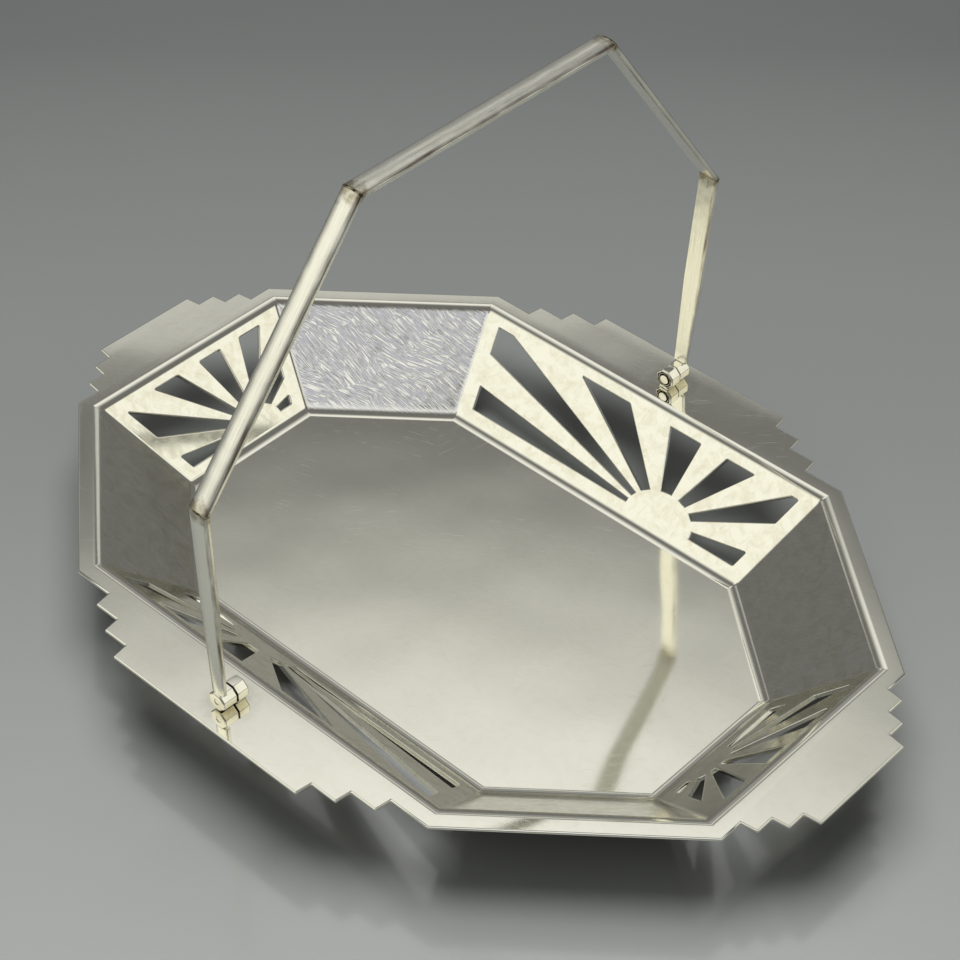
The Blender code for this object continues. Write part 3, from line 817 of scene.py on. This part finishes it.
def handle_path(sizes):
    """Corners of the handle's centre line, across and up from the hinge axis, from left to right."""
    half = [Vector((-sizes.foot_y, 0.0)), Vector((-sizes.knee_y, sizes.knee_z)),
            Vector((-sizes.top_y, sizes.top_z))]
    return half + [Vector((-point.x, point.y)) for point in reversed(half)]


def cut_end(bm, point, normal):
    """Cuts off what lies beyond a plane, and closes the cut."""
    cut = bmesh.ops.bisect_plane(bm, geom=bm.verts[:] + bm.edges[:] + bm.faces[:], plane_co=point,
                                 plane_no=normal, clear_outer=True)["geom_cut"]
    bmesh.ops.contextual_create(bm, geom=of_kind(cut, BMEdge))


def cut_mitre(bm, corner, mitre, way):
    """Cuts a strip just short of a mitre: the end before it when way is 1, the end after it when it is -1."""
    point = corner - mitre * (way * MITRE_GAP)
    cut_end(bm, (0.0, point.x, point.y), (0.0, way * mitre.x, way * mitre.y))


def strip_section(bm, sizes, width, proud=0.0):
    """Section of the strip in its own frame: X across, Z out. The outer face is crowned."""
    half = width / 2 + proud
    edge = sizes.strip_edge / 2 + proud
    points = [(-half, -edge), (half, -edge)]
    for index in range(CROWN_STEPS + 1):
        across = 1.0 - 2.0 * index / CROWN_STEPS
        points.append((half * across, edge + sizes.crown * (1.0 - across * across)))
    return bm.faces.new([bm.verts.new((x, 0.0, z)) for x, z in points])


def strip_frame(start, direction):
    """Matrix of a strip: X across, Y along and Z out of the handle."""
    along = Vector((0.0, direction.x, direction.y))
    out = Vector((0.0, -direction.y, direction.x))
    matrix = Matrix((Vector((1.0, 0.0, 0.0)), along, out)).transposed().to_4x4()
    matrix.translation = (0.0, start.x, start.y)
    return matrix


def strip_blank(sizes, length, left_foot, right_foot):
    """A strip along Y, too long at both ends, and narrowed towards its foot where it has one."""
    bm = bmesh.new()
    face = strip_section(bm, sizes, sizes.strip_width)
    bmesh.ops.translate(bm, verts=bm.verts[:], vec=(0.0, -SPARE_LENGTH, 0.0))
    taper = [SPARE_LENGTH, SPARE_LENGTH + (length - sizes.eye_depth) * sizes.taper]
    stations = [-SPARE_LENGTH, length + SPARE_LENGTH]
    if left_foot:
        stations[1:1] = taper
    if right_foot:
        stations[1:1] = [length - station for station in reversed(taper)]
    rings = [list(face.verts)]
    for before, station in zip(stations, stations[1:]):
        made = bmesh.ops.extrude_face_region(bm, geom=[face])["geom"]
        moved = of_kind(made, BMVert)
        bmesh.ops.translate(bm, verts=moved, vec=(0.0, station - before, 0.0))
        if len(rings) > 1:
            bmesh.ops.delete(bm, geom=[face], context="FACES_ONLY")
        face = of_kind(made, BMFace)[0]
        rings.append(moved)
    if left_foot or right_foot:
        foot = rings[:2] if left_foot else rings[2:]
        narrow = sizes.foot_width / sizes.strip_width
        bmesh.ops.scale(bm, verts=foot[0] + foot[1], vec=(narrow, 1.0, 1.0))
    return bm


def unroll(bm, sizes, length, left_foot, right_foot):
    """Writes a strip's two UV maps: its faces unrolled, and the distances to the mitres at its ends."""
    grain = bm.loops.layers.uv.new("grain")
    ends = bm.loops.layers.uv.new("ends")
    far = 2 * length
    bm.normal_update()
    for face in bm.faces:
        beside = abs(face.normal.x) > 0.7
        for loop in face.loops:
            across, along, out = loop.vert.co
            if beside:
                across += math.copysign(sizes.strip_edge / 2 - out, across)
            loop[grain].uv = (across, along)
            loop[ends].uv = (far if left_foot else along, far if right_foot else length - along)


class BASKET_OT_handle(bpy.types.Operator):
    """Builds the five lengths of strip and the solder at their mitres"""

    bl_idname = "basket.handle"
    bl_label = "Mitred Handle"

    def execute(self, context):
        sizes = context.scene.basket_handle
        place = handle_matrix(sizes)
        path = handle_path(sizes)
        runs = [(after - before).normalized() for before, after in zip(path, path[1:])]
        mitres = [(before + after).normalized() for before, after in zip(runs, runs[1:])]
        foot = sizes.eye_flats / 2 + SLACK
        for index, name in enumerate(STRIPS):
            start, end, run = path[index], path[index + 1], runs[index]
            length = (end - start).length
            feet = (index == 0, index == len(mitres))
            bm = strip_blank(sizes, length, *feet)
            unroll(bm, sizes, length, *feet)
            bmesh.ops.transform(bm, matrix=strip_frame(start, run), verts=bm.verts[:])
            if feet[0]:
                cut_end(bm, (0.0, start.x, foot), (0.0, 0.0, -1.0))
            else:
                cut_mitre(bm, start, mitres[index - 1], -1)
            if feet[1]:
                cut_end(bm, (0.0, end.x, foot), (0.0, 0.0, -1.0))
            else:
                cut_mitre(bm, end, mitres[index], 1)
            round_sharp_edges(bm, sizes.strip_round)
            bmesh.ops.transform(bm, matrix=place, verts=bm.verts[:])
            strip = new_object(name + "_strip", bm)
            finish_piece(strip, electroplated_drawn_strip, "handle", name)
        for index, mitre in enumerate(mitres, 1):
            bm = bmesh.new()
            face = strip_section(bm, sizes, sizes.strip_width, sizes.bead_proud)
            bmesh.ops.translate(bm, verts=bm.verts[:], vec=(0.0, -sizes.bead / 2, 0.0))
            made = bmesh.ops.extrude_face_region(bm, geom=[face])["geom"]
            bmesh.ops.translate(bm, verts=of_kind(made, BMVert), vec=(0.0, sizes.bead, 0.0))
            stretch = 1.0 / runs[index].dot(mitre)
            bmesh.ops.scale(bm, verts=bm.verts[:], vec=(1.0, 1.0, stretch))
            round_sharp_edges(bm, sizes.bead_round)
            for matrix in (strip_frame(path[index], mitre), place):
                bmesh.ops.transform(bm, matrix=matrix, verts=bm.verts[:])
            bead = new_object("mitre_solder_%d" % index, bm)
            finish_piece(bead, tarnished_silver_solder, "handle")
        return {"FINISHED"}


def add_glow(tree, direction, toward, inner, outer, flatten, colour, below):
    """Adds one soft light in the room, seen in that direction, to the colour below it."""
    apart = add_node(tree, "VectorMath", {0: direction, 1: Vector(toward).normalized()},
                     operation="SUBTRACT")
    shaped = add_node(tree, "VectorMath", {0: apart, 1: (1.0, 1.0, flatten)}, operation="MULTIPLY")
    far = add_node(tree, "VectorMath", {0: shaped}, operation="LENGTH")
    edge = add_node(tree, "MapRange",
                    {"Value": far.outputs["Value"], "From Min": 2 * math.sin(math.radians(inner) / 2),
                     "From Max": 2 * math.sin(math.radians(outer) / 2), "To Min": 1.0, "To Max": 0.0},
                    interpolation_type="SMOOTHSTEP")
    light = add_node(tree, "VectorMath", {0: edge, 1: colour}, operation="MULTIPLY")
    return add_node(tree, "VectorMath", {0: light, 1: below}, operation="ADD").outputs[0]


def satin_laminate_board(name):
    """Satin laminate: a smooth grey board with a soft mirror in it, with painted light in its colour: lighter
    towards the front, and darker behind the basket as painted shade.
    """
    studio = bpy.context.scene.basket_studio
    material, tree, shader = new_material(name)
    place = add_node(tree, "TexCoord").outputs["Object"]
    # Painted light: the colour runs from a painted shade behind the basket to a lighter tone at the front.
    front = add_node(tree, "VectorMath", {0: place, 1: (0.68, -0.73, 0.0)}, operation="DOT_PRODUCT")
    depth = add_node(tree, "MapRange",
                     {"Value": front.outputs["Value"], "From Min": -0.30, "From Max": 0.22})
    colour = add_node(tree, "Mix", {"Factor": depth, "A": (*studio.table_behind_painted_shade, 1.0),
                                              "B": (*studio.table, 1.0)}, data_type="RGBA")
    fill_inputs(shader, {"Base Color": colour.outputs["Result"], "Roughness": 0.13, "IOR": 1.7})
    return material


class BASKET_OT_studio(bpy.types.Operator):
    """Builds the table, the soft light of the room and the camera"""

    bl_idname = "basket.studio"
    bl_label = "Table, Light and Camera"

    def execute(self, context):
        scene = context.scene
        studio = scene.basket_studio
        bm = bmesh.new()
        bmesh.ops.create_grid(bm, x_segments=1, y_segments=1, size=4.0)
        table = new_object("table_top", bm)
        table.data.materials.append(shared(satin_laminate_board))

        world = bpy.data.worlds.new("soft_studio")
        world.use_nodes = True
        tree = world.node_tree
        direction = add_node(tree, "TexCoord").outputs["Generated"]
        room = add_node(tree, "CombineXYZ", {0: 0.165, 1: 0.167, 2: 0.165}).outputs[0]
        # Two big soft lights on either hand, two higher up, and a long strip and a dim patch low behind.
        # Each has its direction, inner and outer radius in degrees, flattening, and colour.
        glows = (
            ((-0.505, -0.596, 0.621), 20, 36, 1.0, (0.86, 0.85, 0.77)),
            ((0.602, 0.550, 0.576), 14, 24, 1.0, (0.84, 0.83, 0.75)),
            ((-0.422, 0.408, 0.811), 6.5, 27, 2.4, (0.72, 0.72, 0.70)),
            ((0.342, -0.462, 0.815), 14, 34, 1.0, (0.76, 0.77, 0.81)),
            ((-0.609, 0.556, 0.566), 25, 40, 10.0, (0.38, 0.38, 0.37)),
            ((-0.618, 0.663, 0.423), 14, 24, 2.0, (0.13, 0.13, 0.13)),
        )
        for toward, inner, outer, flatten, colour in glows:
            room = add_glow(tree, direction, toward, inner, outer, flatten, colour, room)
        tree.links.new(room, tree.nodes["Background"].inputs["Color"])
        key = bpy.data.lights.new("key_panel", "AREA")
        key.shape = "DISK"
        key.size = 1.10
        key.energy = 42.0
        panel = bpy.data.objects.new("key_panel", key)
        scene.collection.objects.link(panel)
        away = Vector((-0.16, 0.14, 0.98)).normalized()
        facing = away.to_track_quat("Z", "Y").to_matrix().to_4x4()
        panel.matrix_world = Matrix.Translation(away * 1.25) @ facing
        panel.visible_glossy = False
        scene.world = world
        scene.view_settings.view_transform = "Standard"

        lens = bpy.data.cameras.new("studio_camera")
        lens.sensor_width = 36.0
        lens.lens = studio.lens
        lens.clip_start = 0.01
        camera = bpy.data.objects.new("studio_camera", lens)
        scene.collection.objects.link(camera)
        turn = (Matrix.Rotation(studio.azimuth, 4, "Z")
                @ Matrix.Rotation(math.pi / 2 - studio.elevation, 4, "X")
                @ Matrix.Rotation(studio.roll, 4, "Z"))
        aim = Vector((-0.0121, 0.0183, 0.0249))
        camera.matrix_world = Matrix.Translation(aim) @ turn @ Matrix.Translation((0.0, 0.0, studio.distance))
        scene.camera = camera
        return {"FINISHED"}


class BASKET_PT_panel(bpy.types.Panel):
    """Lists the basket's pieces"""

    bl_label = "Sunburst Basket"
    bl_space_type = "VIEW_3D"
    bl_region_type = "UI"
    bl_category = "Basket"

    def draw(self, context):
        for operator in OPERATORS:
            self.layout.operator(operator.bl_idname)


GROUPS = (
    ("basket_bowl", BasketBowlSizes),
    ("basket_handle", BasketHandleSizes),
    ("basket_finish", BasketFinish),
    ("basket_studio", BasketStudio),
)
OPERATORS = (BASKET_OT_bowl, BASKET_OT_lugs, BASKET_OT_eyes, BASKET_OT_handle, BASKET_OT_studio)


def register():
    for _name, group in GROUPS:
        bpy.utils.register_class(group)
    for name, group in GROUPS:
        setattr(bpy.types.Scene, name, PointerProperty(type=group))
    for item in OPERATORS + (BASKET_PT_panel,):
        bpy.utils.register_class(item)


def unregister():
    for item in reversed(OPERATORS + (BASKET_PT_panel,)):
        bpy.utils.unregister_class(item)
    for name, group in reversed(GROUPS):
        delattr(bpy.types.Scene, name)
        bpy.utils.unregister_class(group)


def main():
    register()
    bpy.ops.basket.studio()
    bpy.ops.basket.bowl()
    bpy.ops.basket.lugs()
    bpy.ops.basket.eyes()
    bpy.ops.basket.handle()


if __name__ == "__main__":
    main()
